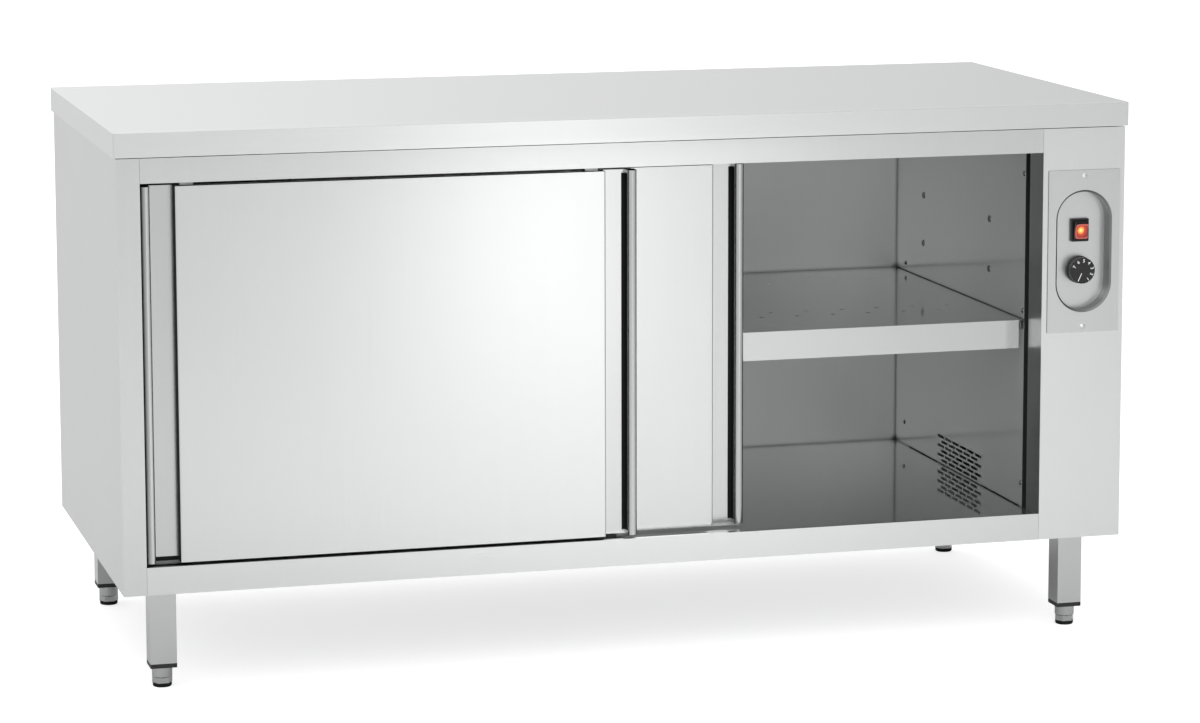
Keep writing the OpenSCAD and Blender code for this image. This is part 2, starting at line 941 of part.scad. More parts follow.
// Bolts that join the legs to the base rails
module leg_bolts() {
    head = 4;
    nut = 5;
    plate_z0 = leg_plate_top - leg_plate_t;
    foot_z = leg_plate_top + sheet;
    color(dark_steel)
        for (x = [-leg_x, leg_x], y = [-leg_y, leg_y], i = [-1, 1], j = [-1, 1])
            translate([x + i * bolt_x, y + j * bolt_y, 0]) {
                translate([0, 0, plate_z0 - head])
                    cylinder(r = bolt_hex_r, h = head, $fn = 6);
                translate([0, 0, plate_z0])
                    cylinder(r = bolt_r, h = foot_z - plate_z0 + nut);
                translate([0, 0, foot_z])
                    cylinder(r = bolt_hex_r, h = nut, $fn = 6);
            }
}

// A solid with the race-track outline: a profile in (radius, Y), turned round both ends
module race_solid(profile) {
    last = len(profile) - 1;
    for (turn = [0, 180])
        translate([plate_x, 0, plate_z - recess_half * cos(turn)])
            rotate([-90, 0, 0])
                rotate(turn)
                    rotate_extrude(angle = 180)
                        polygon(profile);
    along_z(plate_z - recess_half, plate_z + recess_half)
        translate([plate_x, 0])
            polygon(concat(profile, [for (i = [last : -1 : 0]) [-profile[i][0], profile[i][1]]]));
}

// The control plate with its pressed recess
module control_plate() {
    half_w = plate_w / 2;
    half_h = plate_h / 2;
    lip_y = plate_front + recess_lip;
    wall = sheet;
    flare = wall * tan(22.5);
    floor_r = recess_r - recess_taper;
    color(steel)
        difference() {
            union() {
                along_y(plate_front, y_f)
                    rounded([plate_x - half_w, plate_z - half_h],
                        [plate_x + half_w, plate_z + half_h], 1.5);
                race_solid([
                    [0, recess_back],
                    [floor_r + wall, recess_back],
                    [recess_r + wall, lip_y + flare],
                    [recess_r + recess_lip + wall, plate_front + flare],
                    [0, plate_front + flare]
                ]);
            }
            race_solid([
                [0, recess_floor],
                [floor_r, recess_floor],
                [recess_r, lip_y],
                [recess_r + recess_lip + 1, plate_front - 1],
                [0, plate_front - 1]
            ]);
            along_y(recess_floor - 1, recess_back + 1)
                translate([plate_x - switch_body_w / 2, switch_z - switch_body_h / 2])
                    square([switch_body_w, switch_body_h]);
            bar_y(plate_x, knob_z, spindle_r + fit, recess_floor - 1, recess_back + 1);
            for (z = [-plate_screw_dz, plate_screw_dz])
                bar_y(plate_x, plate_z + z, screw_shank + run, plate_front - 1, y_f + 1);
        }
}

// The switch: a frame on the recess floor and a body behind it
module switch_housing() {
    half_w = switch_w / 2;
    half_h = switch_h / 2;
    body_w2 = switch_body_w / 2 - fit;
    body_h2 = switch_body_h / 2 - fit;
    body_back = recess_back + switch_body_d;
    color(black)
        difference() {
            union() {
                along_y(recess_floor - switch_rise, recess_floor)
                    rounded([plate_x - half_w, switch_z - half_h],
                        [plate_x + half_w, switch_z + half_h], 1.5);
                along_y(recess_floor, body_back)
                    translate([plate_x - body_w2, switch_z - body_h2])
                        square([2 * body_w2, 2 * body_h2]);
                for (z = [-8, 0, 8])
                    block([plate_x - 3, body_back, switch_z + z - 0.4],
                        [plate_x + 3, body_back + 8, switch_z + z + 0.4]);
            }
            along_y(recess_floor - switch_rise - 1, recess_floor - pocket_floor)
                rounded([plate_x - pocket_w / 2, switch_z - pocket_h / 2],
                    [plate_x + pocket_w / 2, switch_z + pocket_h / 2], 0.8);
            bar_x(rocker_pivot_y, switch_z, rocker_pin_r + run,
                plate_x - half_w + 1, plate_x + half_w - 1);
        }
}

// The rocker, tilted to its on position, with the lower end pressed in
module switch_rocker() {
    half = pocket_w / 2 - 0.4;
    pin_reach = switch_w / 2 - 1.2;
    low = 3;
    hub_r = 2;
    valley = rocker_r * (sin(rocker_face) - cos(rocker_face) * tan(rocker_tilt));
    color(red)
        translate([plate_x, rocker_pivot_y, switch_z])
            rotate([rocker_tilt, 0, 0]) {
                along_x(-half, half)
                    polygon(concat(
                        arc([0, 0], rocker_r, 90 + low, 90 + rocker_face, 6),
                        [[-valley, 0]],
                        arc([0, 0], rocker_r, 270 - rocker_face, 270 - low, 6)
                    ));
                bar_x(0, 0, hub_r, -half, half);
                bar_x(0, 0, rocker_pin_r, -pin_reach, pin_reach);
            }
}

// The knob: a round cap with a fluted side and a groove for the pointer
module knob() {
    r = knob_d / 2;
    height = knob_h - knob_gap;
    collar = 5;
    flutes = 24;
    flute_r = 1.2;
    bore = knob_h - 5;
    pointer_angle = 205.7;
    color(black)
        translate([plate_x, recess_floor - knob_gap, knob_z])
            rotate([90, 0, 0])
                difference() {
                    rotate_extrude()
                        polygon([
                            [0, 0],
                            [r - 1, 0],
                            [r, 1],
                            [r, collar],
                            [r - 1, collar + 1],
                            [r - 1, height - 1.5],
                            [r - 2.5, height],
                            [0, height]
                        ]);
                    for (i = [0 : flutes - 1])
                        rotate(i * 360 / flutes)
                            translate([r - 0.5, 0, collar + 2])
                                cylinder(r = flute_r, h = height, $fn = 16);
                    rotate(-pointer_angle)
                        translate([-0.7, 4, height - 0.6])
                            cube([1.4, r - 7, 2]);
                    translate([0, 0, -1])
                        linear_extrude(bore)
                            spindle_section(spindle_r + run);
                }
}

// The section of the thermostat's spindle: round with one flat
module spindle_section(r) {
    flat = r * 0.6;
    difference() {
        circle(r);
        translate([flat, -r - 1])
            square(2 * r + 2);
    }
}

// The thermostat's spindle: round in its bearing, flattened in the knob
module thermostat_spindle() {
    shoulder_y = recess_floor - knob_gap;
    color(steel) {
        bar_y(plate_x, knob_z, spindle_r, shoulder_y, recess_back + 10);
        translate([plate_x, shoulder_y, knob_z])
            rotate([90, 0, 0])
                linear_extrude(knob_h - 7)
                    spindle_section(spindle_r);
    }
}

// The thermostat behind the recess, with its capillary and sensor behind the duct panel
module thermostat_body() {
    half = thermostat_w / 2;
    back = recess_back + thermostat_d;
    boss_r = 12;
    tube_r = 1.2;
    elbow_r = 1.6;
    tube_y = back + 4;
    tube_z = knob_z - boss_r - 2;
    bulb_r = 3;
    bulb_x = duct_back + 7;
    bulb_y = liner_front + 22;
    bulb_z = floor_z + 108;
    bulb_len = 80;
    color(dark_steel)
        difference() {
            union() {
                block([plate_x - half, recess_back, knob_z - half],
                    [plate_x + half, back, knob_z + half]);
                bar_y(plate_x, knob_z, boss_r, back, back + 6);
                bar_y(plate_x, tube_z, tube_r, back, tube_y);
                bar_z(plate_x, tube_y, tube_r, bulb_z, tube_z);
                bar_y(plate_x, bulb_z, tube_r, tube_y, bulb_y);
                for (at = [[tube_y, tube_z], [tube_y, bulb_z], [bulb_y, bulb_z]])
                    translate([plate_x, at[0], at[1]])
                        sphere(elbow_r);
                bar_x(bulb_y, bulb_z, tube_r, bulb_x, plate_x);
                bar_y(bulb_x, bulb_z, bulb_r, bulb_y - 2, bulb_y + bulb_len);
                for (y = [20, bulb_len - 20])
                    block([duct_back, bulb_y + y - 4, bulb_z - bulb_r - 1],
                        [bulb_x + 1, bulb_y + y + 4, bulb_z + bulb_r + 1]);
            }
            bar_y(plate_x, knob_z, spindle_r + run, recess_back - 1, recess_back + 11);
        }
}

// The hat-shaped plate on the right side panel that carries the electrical parts
module component_plate() {
    y0 = component_y;
    y1 = y0 + component_w;
    foot = 15;
    inner = x_r - sheet;
    color(dark_steel)
        along_z(component_z, component_z + component_h)
            folded([
                [inner, y0],
                [inner, y0 + foot],
                [component_face + sheet, y0 + foot],
                [component_face + sheet, y1 - foot],
                [inner, y1 - foot],
                [inner, y1]
            ], sheet);
}

// The safety cut-out: a disc thermostat on a mounting strap
module safety_thermostat() {
    y = component_y + component_w / 3;
    z = component_z + component_h - 50;
    color(black)
        translate([component_face, y, z])
            rotate([0, -90, 0]) {
                translate([-7, -22, 0])
                    cube([14, 44, 2]);
                cylinder(r = 14, h = 12);
                cylinder(r = 9, h = 17);
            }
}

// The mains terminal block, with a clamping screw hole over each pole
module terminal_block() {
    poles = 5;
    pitch = 12;
    height = 20;
    depth = 24;
    y = component_y + 40;
    z = component_z + 50;
    color(wool)
        difference() {
            block([component_face - height, y, z],
                [component_face, y + poles * pitch, z + depth]);
            for (i = [0 : poles - 1]) {
                bar_x(y + (i + 0.5) * pitch, z + depth / 2, 3,
                    component_face - height - 1, component_face - height + 8);
                bar_z(component_face - height / 2 + 4, y + (i + 0.5) * pitch, 2.2, z - 1, z + 8);
            }
        }
}

// The cable gland in the floor, pointing down
module cable_gland() {
    under = floor_z - sheet;
    collar = 6;
    nut = 4;
    dome = [
        [0, under - collar - 13],
        [gland_hex_r - 5, under - collar - 13],
        [gland_hex_r - 1.5, under - collar - 9],
        [gland_hex_r - 1.5, under - collar],
        [0, under - collar]
    ];
    color(black)
        difference() {
            translate([gland_x, gland_y, 0]) {
                rotate_extrude()
                    polygon(dome);
                translate([0, 0, under - collar])
                    cylinder(r = gland_hex_r, h = collar, $fn = 6);
                translate([0, 0, under])
                    cylinder(r = gland_thread_r, h = sheet + nut + 2);
                translate([0, 0, floor_z])
                    cylinder(r = gland_hex_r, h = nut, $fn = 6);
            }
            bar_z(gland_x, gland_y, gland_bore_r, under - 30, floor_z + 20);
        }
}

// The outline of the fan housing's end plates, in (X, Z)
module housing_end() {
    tongue_z = mouth_top + tongue_h;
    polygon(concat(
        [[duct_back, fan_z - scroll_r - housing_t]],
        arc([fan_x, fan_z], scroll_r + housing_t, -90, scroll_end, 16),
        [[fan_x - drum_r / 2, tongue_z + 6], [duct_back, tongue_z]]
    ));
}

// The fan housing: a scroll round the drum, the tongue over the mouth, and two end plates
module fan_housing() {
    tongue_x = fan_x - sqrt(pow(drum_r + 3, 2) - pow(mouth_top - fan_z, 2));
    end_t = 1.5;
    color(dark_steel) {
        along_y(fan_y0, fan_y1) {
            folded(concat(
                [[duct_back, fan_z - scroll_r]],
                arc([fan_x, fan_z], scroll_r, -90, scroll_end, 16)
            ), -housing_t);
            folded([
                [duct_back, mouth_top + tongue_h],
                [duct_back, mouth_top],
                [tongue_x, mouth_top],
                [tongue_x - 2, mouth_top + 7]
            ], housing_t);
        }
        difference() {
            along_y(fan_y0 - end_t, fan_y0)
                housing_end();
            bar_y(fan_x, fan_z, bearing_r + run, fan_y0 - end_t - 1, fan_y0 + 1);
        }
        difference() {
            along_y(fan_y1, fan_y1 + end_t)
                housing_end();
            bar_y(fan_x, fan_z, motor_boss_r + fit, fan_y1 - 1, fan_y1 + end_t + 1);
            for (i = [0, heater_runs - 1])
                bar_y(heater_x, heater_z0 + i * heater_pitch, heater_r + fit,
                    fan_y1 - 1, fan_y1 + end_t + 1);
        }
    }
}

// The bush that carries the drum's front journal
module fan_bearing() {
    color(black)
        difference() {
            union() {
                bar_y(fan_x, fan_z, bearing_r, fan_y0 - 4, fan_y0 + 2);
                bar_y(fan_x, fan_z, bearing_r + 3, fan_y0 - 6, fan_y0 - 1.5);
            }
            bar_y(fan_x, fan_z, shaft_r + run, fan_y0 - 7, fan_y0 + 3);
        }
}

// The fan motor on the rear end plate: laminated core, coil and bearing boss
module fan_motor() {
    half = motor_w / 2;
    seat = fan_y1 + 1.5;
    coil_r = 11;
    color(dark_steel)
        difference() {
            union() {
                bar_y(fan_x, fan_z, motor_boss_r, fan_y1 - 1, seat);
                bar_y(fan_x, fan_z, 16, seat, seat + 6);
                along_y(seat + 6, seat + 6 + motor_d - 6)
                    rounded([fan_x - half + 6, fan_z - half + 6],
                        [fan_x + half - 6, fan_z + half + 10], 3);
                bar_y(fan_x, fan_z, 14, seat + motor_d, seat + motor_d + 8);
                bar_x(seat + 15, fan_z + half + 2, coil_r, fan_x - 16, fan_x + 16);
            }
            bar_y(fan_x, fan_z, shaft_r + run, fan_y1 - 2, seat + motor_d + 2);
        }
}

// The cross-flow drum: curved blades between end discs, with a journal at each end
module fan_rotor() {
    disc_t = 1.5;
    blade_t = 0.8;
    chord = drum_r - drum_inner;
    blade_arc = arc([0, 0], chord * 0.75, 20, 110, 6);
    color(steel)
        translate([fan_x, 0, fan_z]) {
            along_y(drum_y0, drum_y1)
                intersection() {
                    difference() {
                        circle(drum_r - 0.2);
                        circle(drum_inner + 0.2);
                    }
                    for (i = [0 : blades - 1])
                        rotate(i * 360 / blades)
                            translate([drum_inner - chord * 0.3, -chord * 0.6])
                                folded(blade_arc, blade_t);
                }
            for (y = [drum_y0, (drum_y0 + drum_y1 - disc_t) / 2, drum_y1 - disc_t])
                along_y(y, y + disc_t)
                    difference() {
                        circle(drum_r);
                        circle(drum_inner - 1);
                    }
            for (y = [drum_y0, drum_y1 - disc_t])
                bar_y(0, 0, drum_inner, y, y + disc_t);
            bar_y(0, 0, 8, drum_y0 - 3, drum_y0);
            bar_y(0, 0, 8, drum_y1, drum_y1 + 3);
            bar_y(0, 0, shaft_r, fan_y0 - 5, drum_y0);
            bar_y(0, 0, shaft_r, drum_y1, fan_y1 + motor_d);
        }
}

// A half turn of the heating tube, bulging towards -Y or +Y
module heater_bend(y, z, side) {
    translate([heater_x, y, z])
        rotate([90, 0, 90])
            rotate(side * -90)
                rotate_extrude(angle = 180)
                    translate([heater_pitch / 2, 0])
                        circle(heater_r);
}

// The heating tube: four runs in the mouth of the fan, both ends through the rear end plate
module heating_element() {
    terminal_y = fan_y1 + 14;
    terminal_len = 10;
    terminal_r = 1.5;
    color(dark_steel) {
        for (i = [0 : heater_runs - 1])
            bar_y(heater_x, heater_z0 + i * heater_pitch, heater_r, heater_y0,
                (i == 0 || i == heater_runs - 1) ? terminal_y : heater_y1);
        for (i = [0 : heater_runs - 2])
            heater_bend(i % 2 == 0 ? heater_y0 : heater_y1,
                heater_z0 + (i + 0.5) * heater_pitch, i % 2 == 0 ? -1 : 1);
        for (i = [0, heater_runs - 1])
            bar_y(heater_x, heater_z0 + i * heater_pitch, terminal_r, terminal_y,
                terminal_y + terminal_len);
    }
}

// Two comb plates that hold the heating tube in the mouth of the fan
module heater_bracket() {
    plate = 1.5;
    foot = 10;
    low = floor_z + housing_t;
    color(steel)
        for (y = [heater_y0 + 14, heater_y1 - 16])
            difference() {
                union() {
                    block([duct_back + 4, y, low], [heater_x + 9, y + plate, mouth_top - 1]);
                    block([duct_back + 4, y, low], [heater_x + 9, y + foot, low + plate]);
                }
                for (i = [0 : heater_runs - 1])
                    bar_y(heater_x, heater_z0 + i * heater_pitch, heater_r + run, y - 1, y + foot + 1);
            }
}

// Half of a door's front outline in (X, Y), from the rear of its end wall to its middle:
// the end wall, the rounded bar, the grip channel and the bend of the main panel
function door_half() = concat(
    [[0, door_t - sheet]],
    arc([bar_d / 2, bar_d / 2], bar_d / 2, 180, 360, 16),
    [[bar_d, grip_depth], [grip_end, grip_depth]],
    arc([grip_end + door_bend, door_bend], door_bend, 180, 270, 4)
);

// The door's whole front outline, from its left end to its right end
function door_outline() = let (half = door_half()) concat(
    half,
    [for (i = [len(half) - 1 : -1 : 0]) [door_w - half[i][0], half[i][1]]]
);

// The door's front: one folded sheet, its top and underside closed but for the hangers' slot
module door_skin(x, y) {
    slot_front = sheet + hanger_flange;
    color(steel)
        translate([x, y, 0]) {
            along_z(door_bottom, door_top)
                folded(door_outline(), sheet);
            for (z = [door_bottom, door_top - sheet])
                along_z(z, z + sheet)
                    intersection() {
                        polygon(door_outline());
                        union() {
                            square([door_w, slot_front]);
                            square([bar_d, door_t]);
                            translate([door_w - bar_d, 0])
                                square([bar_d, door_t]);
                        }
                    }
        }
}

// The door's rear sheet, with its lip that runs in the floor guide
module door_liner(x, y) {
    inner = grip_end + sheet + fit;
    color(dark_steel)
        translate([x, y, 0]) {
            block([0, door_t - sheet, lip_bottom], [door_w, door_t, door_top]);
            for (z = [door_bottom, door_top - sheet])
                block([inner, door_t - sheet - hanger_flange, z],
                    [door_w - inner, door_t - sheet, z + sheet]);
        }
}

// The insulation board between the door's sheets
module door_core(x, y) {
    inner = grip_end + door_bend + fit;
    color(wool)
        translate([x, y, 0])
            block([inner, sheet + fit, door_bottom + sheet + fit],
                [door_w - inner, door_t - sheet - fit, hanger_foot_z - fit]);
}

// The two hangers of a door: a foot under the door's top flanges and a plate with the axle's bore
module door_hangers(x, y) {
    mid = y + door_t / 2;
    half = hanger_w / 2;
    foot_half = track_slot / 2 + 4;
    color(dark_steel)
        for (u = [hanger_inset, door_w - hanger_inset])
            translate([x + u, 0, 0])
                difference() {
                    union() {
                        block([-half, mid - foot_half, hanger_foot_z],
                            [half, mid + foot_half, hanger_foot_z + hanger_foot_t]);
                        block([-half, mid - hanger_t / 2, hanger_foot_z],
                            [half, mid + hanger_t / 2, wheel_z]);
                        bar_y(0, wheel_z, half, mid - hanger_t / 2, mid + hanger_t / 2);
                    }
                    bar_y(0, wheel_z, axle_r + run, mid - hanger_t, mid + hanger_t);
                }
}

// A pair of track wheels on their axle, at distance u from the door's left end
module roller(x, y, u) {
    mid = y + door_t / 2;
    chamfer = 0.8;
    half = wheel_w / 2;
    color(black)
        translate([x + u, mid, wheel_z])
            rotate([90, 0, 0]) {
                translate([0, 0, -axle_half])
                    cylinder(r = axle_r, h = 2 * axle_half);
                for (w = [-wheel_y, wheel_y])
                    translate([0, 0, w])
                        rotate_extrude()
                            polygon([
                                [0, -half],
                                [wheel_r - chamfer, -half],
                                [wheel_r, -half + chamfer],
                                [wheel_r, half - chamfer],
                                [wheel_r - chamfer, half],
                                [0, half]
                            ]);
            }
}

module door_left_skin() { door_skin(door_x[0], door_y[0]); }
module door_left_liner() { door_liner(door_x[0], door_y[0]); }
module door_left_core() { door_core(door_x[0], door_y[0]); }
module door_left_hangers() { door_hangers(door_x[0], door_y[0]); }
module roller_left_a() { roller(door_x[0], door_y[0], hanger_inset); }
module roller_left_b() { roller(door_x[0], door_y[0], door_w - hanger_inset); }

module door_right_skin() { door_skin(door_x[1], door_y[1]); }
module door_right_liner() { door_liner(door_x[1], door_y[1]); }
module door_right_core() { door_core(door_x[1], door_y[1]); }
module door_right_hangers() { door_hangers(door_x[1], door_y[1]); }
module roller_right_a() { roller(door_x[1], door_y[1], hanger_inset); }
module roller_right_b() { roller(door_x[1], door_y[1], door_w - hanger_inset); }

// The shelf: a perforated tray, open side down
module shelf() {
    low = shelf_z - sheet;
    side_low = shelf_z - shelf_side_fold;
    front_low = shelf_z - shelf_fold;
    front_l = shelf_l + shelf_fold_setback;
    front_r = shelf_r - shelf_fold_setback;
    holes = floor((shelf_r - shelf_l - 60) / shelf_hole_pitch);
    first = (shelf_l + shelf_r - (holes - 0.5) * shelf_hole_pitch) / 2;
    color(steel) {
        difference() {
            block([shelf_l, shelf_front, low], [shelf_r, shelf_back, shelf_z]);
            for (row = [0 : len(hole_rows) - 1], i = [0 : holes - 1])
                bar_z(first + (i + row % 2 / 2) * shelf_hole_pitch, hole_rows[row],
                    shelf_hole_d / 2, low - 1, shelf_z + 1);
        }
        along_x(front_l, front_r)
            folded([
                [shelf_front + shelf_return, front_low],
                [shelf_front, front_low],
                [shelf_front, shelf_z],
                [shelf_front + shelf_return, shelf_z]
            ], -sheet);
        for (x = [shelf_l, shelf_r - sheet])
            block([x, shelf_front + shelf_fold_setback, side_low], [x + sheet, shelf_back, low]);
        block([shelf_l, shelf_back - sheet, side_low], [shelf_r, shelf_back, low]);
    }
}

// A hat section under the shelf, along its middle
module shelf_stiffener() {
    top = shelf_z - sheet;
    half = 30;
    foot = 12;
    depth = 15;
    mid = (shelf_front + shelf_back) / 2;
    reach_l = shelf_l + sheet + 2;
    reach_r = shelf_r - sheet - 2;
    color(dark_steel)
        along_x(reach_l, reach_r)
            folded([
                [mid - half, top],
                [mid - half + foot, top],
                [mid - half + foot, top - depth],
                [mid + half - foot, top - depth],
                [mid + half - foot, top],
                [mid + half, top]
            ], -sheet);
}

worktop();
worktop_stiffeners();
side_panel_left();
side_panel_right();
back_panel();
top_header();
bottom_rail();
floor_panel();
base_rails();
ceiling_panel();
liner_left();
liner_back();
duct_panel();
insulation_boards();
door_track();
track_buffers();
floor_guides();
shelf_pins();
shelf_sockets();
panel_screws();
leg_fl();
leg_fr();
leg_rl();
leg_rr();
leg_caps();
leg_bolts();
control_plate();
switch_housing();
thermostat_body();
component_plate();
safety_thermostat();
terminal_block();
cable_gland();
fan_housing();
fan_motor();
fan_bearing();
heating_element();
heater_bracket();
door_left_skin();
door_left_liner();
door_left_core();
door_left_hangers();
door_right_skin();
door_right_liner();
door_right_core();
door_right_hangers();
roller_left_a();
roller_left_b();
roller_right_a();
roller_right_b();
foot_fl();
foot_fr();
foot_rl();
foot_rr();
shelf();
shelf_stiffener();
switch_rocker();
knob();
thermostat_spindle();
fan_rotor();
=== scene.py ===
"""Plate warmer cabinet: steel finishes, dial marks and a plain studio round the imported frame."""
import json
import math

import bpy
from mathutils import Matrix, Quaternion, Vector


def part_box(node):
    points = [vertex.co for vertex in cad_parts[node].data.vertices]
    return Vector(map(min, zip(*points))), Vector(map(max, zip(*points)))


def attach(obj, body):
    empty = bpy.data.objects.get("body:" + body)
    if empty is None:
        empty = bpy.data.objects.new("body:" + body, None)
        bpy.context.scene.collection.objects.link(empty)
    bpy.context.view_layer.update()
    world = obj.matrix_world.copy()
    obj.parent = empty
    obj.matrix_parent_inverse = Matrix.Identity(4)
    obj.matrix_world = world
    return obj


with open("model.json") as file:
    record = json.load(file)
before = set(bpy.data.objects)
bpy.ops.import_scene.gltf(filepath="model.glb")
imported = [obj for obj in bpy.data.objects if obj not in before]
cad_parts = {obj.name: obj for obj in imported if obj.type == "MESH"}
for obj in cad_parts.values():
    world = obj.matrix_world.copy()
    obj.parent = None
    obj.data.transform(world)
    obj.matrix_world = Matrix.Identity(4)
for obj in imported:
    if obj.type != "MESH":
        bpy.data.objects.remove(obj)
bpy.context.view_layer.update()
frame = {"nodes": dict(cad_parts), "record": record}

MM = 0.001

# The camera solved from the photograph, in metres, radians and pixels of the 1200 x 723 frame
IMAGE_W = 1200
IMAGE_H = 723
FOCAL_PX = 3935.55
CENTRE_PX = (650, 250)
CAMERA_AT = (-1.61625, -6.06198, 1.48897)
YAW = 0.27845
PITCH = -0.14109
ROLL = -0.00031
SENSOR_MM = 36
VIEW_REACH = 100


def add_camera():
    """The camera at the photograph's viewing angle, with the shift that its framing needs."""
    data = bpy.data.cameras.new("camera")
    data.sensor_width = SENSOR_MM
    data.lens = FOCAL_PX / IMAGE_W * SENSOR_MM
    data.shift_x = (IMAGE_W / 2 - CENTRE_PX[0]) / IMAGE_W
    data.shift_y = (CENTRE_PX[1] - IMAGE_H / 2) / IMAGE_W
    data.clip_end = VIEW_REACH
    camera = bpy.data.objects.new("camera", data)
    bpy.context.scene.collection.objects.link(camera)
    flat = math.cos(PITCH)
    forward = Vector((math.sin(YAW) * flat, math.cos(YAW) * flat, math.sin(PITCH)))
    level = Vector((math.cos(YAW), -math.sin(YAW), 0))
    up = level.cross(forward)
    right = math.cos(ROLL) * level + math.sin(ROLL) * up
    up = right.cross(forward)
    turn = Matrix((right, up, -forward)).transposed()
    camera.matrix_world = Matrix.Translation(CAMERA_AT) @ turn.to_4x4()
    bpy.context.scene.camera = camera


# ---------------------------------------------------------------- node helpers

EDGE_SOFT = 0.4 * MM


class Tree:
    """A node tree that is built by short calls."""

    def __init__(self, tree):
        self.tree = tree

    def node(self, kind, *sources, **settings):
        """A new node; sources go to its first inputs, settings to its inputs or attributes.

        The attributes come first, because they decide which of the inputs are in use.
        """
        made = self.tree.nodes.new("ShaderNode" + kind)
        for name, value in settings.items():
            if hasattr(made, name):
                setattr(made, name, value)
        for name, value in settings.items():
            if not hasattr(made, name):
                self.put(made.inputs[name.replace("_", " ")], value)
        for socket, source in zip(made.inputs, sources):
            self.put(socket, source)
        return made

    def put(self, socket, value):
        """Links an output, or a node's first output, to a socket, or sets the socket's value."""
        if isinstance(value, bpy.types.Node):
            value = value.outputs[0]
        if isinstance(value, bpy.types.NodeSocket):
            self.tree.links.new(value, socket)
        else:
            socket.default_value = value

    def feed(self, shader, **inputs):
        """Links or sets a shader's inputs by their names, with _ for a space."""
        for name, value in inputs.items():
            self.put(shader.inputs[name.replace("_", " ")], value)

    def maths(self, operation, a, b=0.0):
        """One Math node."""
        return self.node("Math", a, b, operation=operation)

    def spread(self, value, low, high, out_low, out_high):
        """A Map Range node, which keeps its result between the two ends."""
        made = self.node("MapRange", value)
        for socket, number in zip(list(made.inputs)[1:5], (low, high, out_low, out_high)):
            socket.default_value = number
        return made

    def inside(self, value, low, high, soft=EDGE_SOFT):
        """A mask that is 1 between two values and fades to 0 over a soft edge outside them."""
        rise = self.spread(value, low - soft, low, 0, 1)
        fall = self.spread(value, high, high + soft, 1, 0)
        return self.maths("MULTIPLY", rise, fall)

    def axes(self, kind):
        """The three components of a texture coordinate, such as Object or Normal."""
        return self.node("SeparateXYZ", self.node("TexCoord").outputs[kind]).outputs

    def noise(self, scale, detail, stretch=None, **settings):
        """Noise in the object's own space, with a scale for each axis where stretch gives one."""
        coords = self.node("TexCoord").outputs["Object"]
        if stretch:
            coords = self.node("Mapping", coords, Scale=stretch)
        return self.node("TexNoise", coords, Scale=scale, Detail=detail, **settings)

    def mix(self, kind, share, a, b):
        """A Mix node's result: a where share is 0 and b where it is 1."""
        return self.node("Mix", share, data_type=kind, A=a, B=b).outputs["Result"]

    def ramp(self, value, *stops):
        """A Color Ramp node through stops of (position, colour)."""
        made = self.node("ValToRGB", value)
        elements = made.color_ramp.elements
        for index, (place, colour) in ((0, stops[0]), (1, stops[-1])):
            elements[index].position = place
            elements[index].color = (*colour, 1)
        for place, colour in stops[1:-1]:
            elements.new(place).color = (*colour, 1)
        return made

    def tinted(self, value, tint):
        """A colour whose channels are one value times the channels of a tint."""
        made = self.node("CombineColor")
        for socket, share in zip(made.inputs, tint):
            self.put(socket, self.maths("MULTIPLY", value, share))
        return made

    def either(self, *masks):
        """The largest of some masks."""
        result = masks[0]
        for mask in masks[1:]:
            result = self.maths("MAXIMUM", result, mask)
        return result

    def both(self, *masks):
        """The product of some masks."""
        result = masks[0]
        for mask in masks[1:]:
            result = self.maths("MULTIPLY", result, mask)
        return result

    def squared_off(self, across, along, centre, power):
        """How far a point lies from a centre: round at power 2, and squarer above it."""
        sides = []
        for value, middle in zip((across, along), centre):
            away = self.maths("ABSOLUTE", self.maths("SUBTRACT", value, middle))
            sides.append(self.maths("POWER", away, power))
        return self.maths("POWER", self.maths("ADD", *sides), 1 / power)


def new_material(name):
    """A material with only a Principled shader, as (material, tree, shader)."""
    made = bpy.data.materials.new(name)
    made.use_nodes = True
    return made, Tree(made.node_tree), made.node_tree.nodes["Principled BSDF"]


# ---------------------------------------------------------------- studio

# The studio's light, as (from, to, light at from, light at to), along X and upwards
LIGHT_ACROSS = (0.1, 0.42, 1.0, 0.66)
LIGHT_UPWARDS = (0, 0.8, 0.96, 1.34)

FLOOR_SIZE = 80
FLOOR_GREY = 0.64
FLOOR_SEEN = 0.64
FLOOR_MIRRORED = 0.11

LAMPS = {
    "floor_wash": {"at": (1.1, -4.5, 0.82), "aim": (1.1, -4.5, 0), "size": (0.6, 7.6), "watts": 42,
                   "turn": 15},
    "strip_box": {"at": (0.5, -2.95, 0.41), "aim": (-0.1, -0.35, 0.41), "size": (0.45, 0.8), "watts": 0.65,
                  "turn": 0},
    "left_wash": {"at": (-1.15, -3.1, 0.8), "aim": (-1.15, -3.1, 0), "size": (0.5, 3.6), "watts": 5,
                  "turn": -21},
}


def add_world():
    """An even studio, a little brighter overhead and at the left."""
    world = bpy.data.worlds.new("studio")
    bpy.context.scene.world = world
    world.use_nodes = True
    world.node_tree.nodes.clear()
    tree = Tree(world.node_tree)
    axes = tree.axes("Generated")
    side = tree.spread(axes["X"], *LIGHT_ACROSS)
    height = tree.spread(axes["Z"], *LIGHT_UPWARDS)
    light = tree.node("Background", (1, 1, 1, 1), tree.maths("MULTIPLY", side, height))
    tree.node("OutputWorld", light)


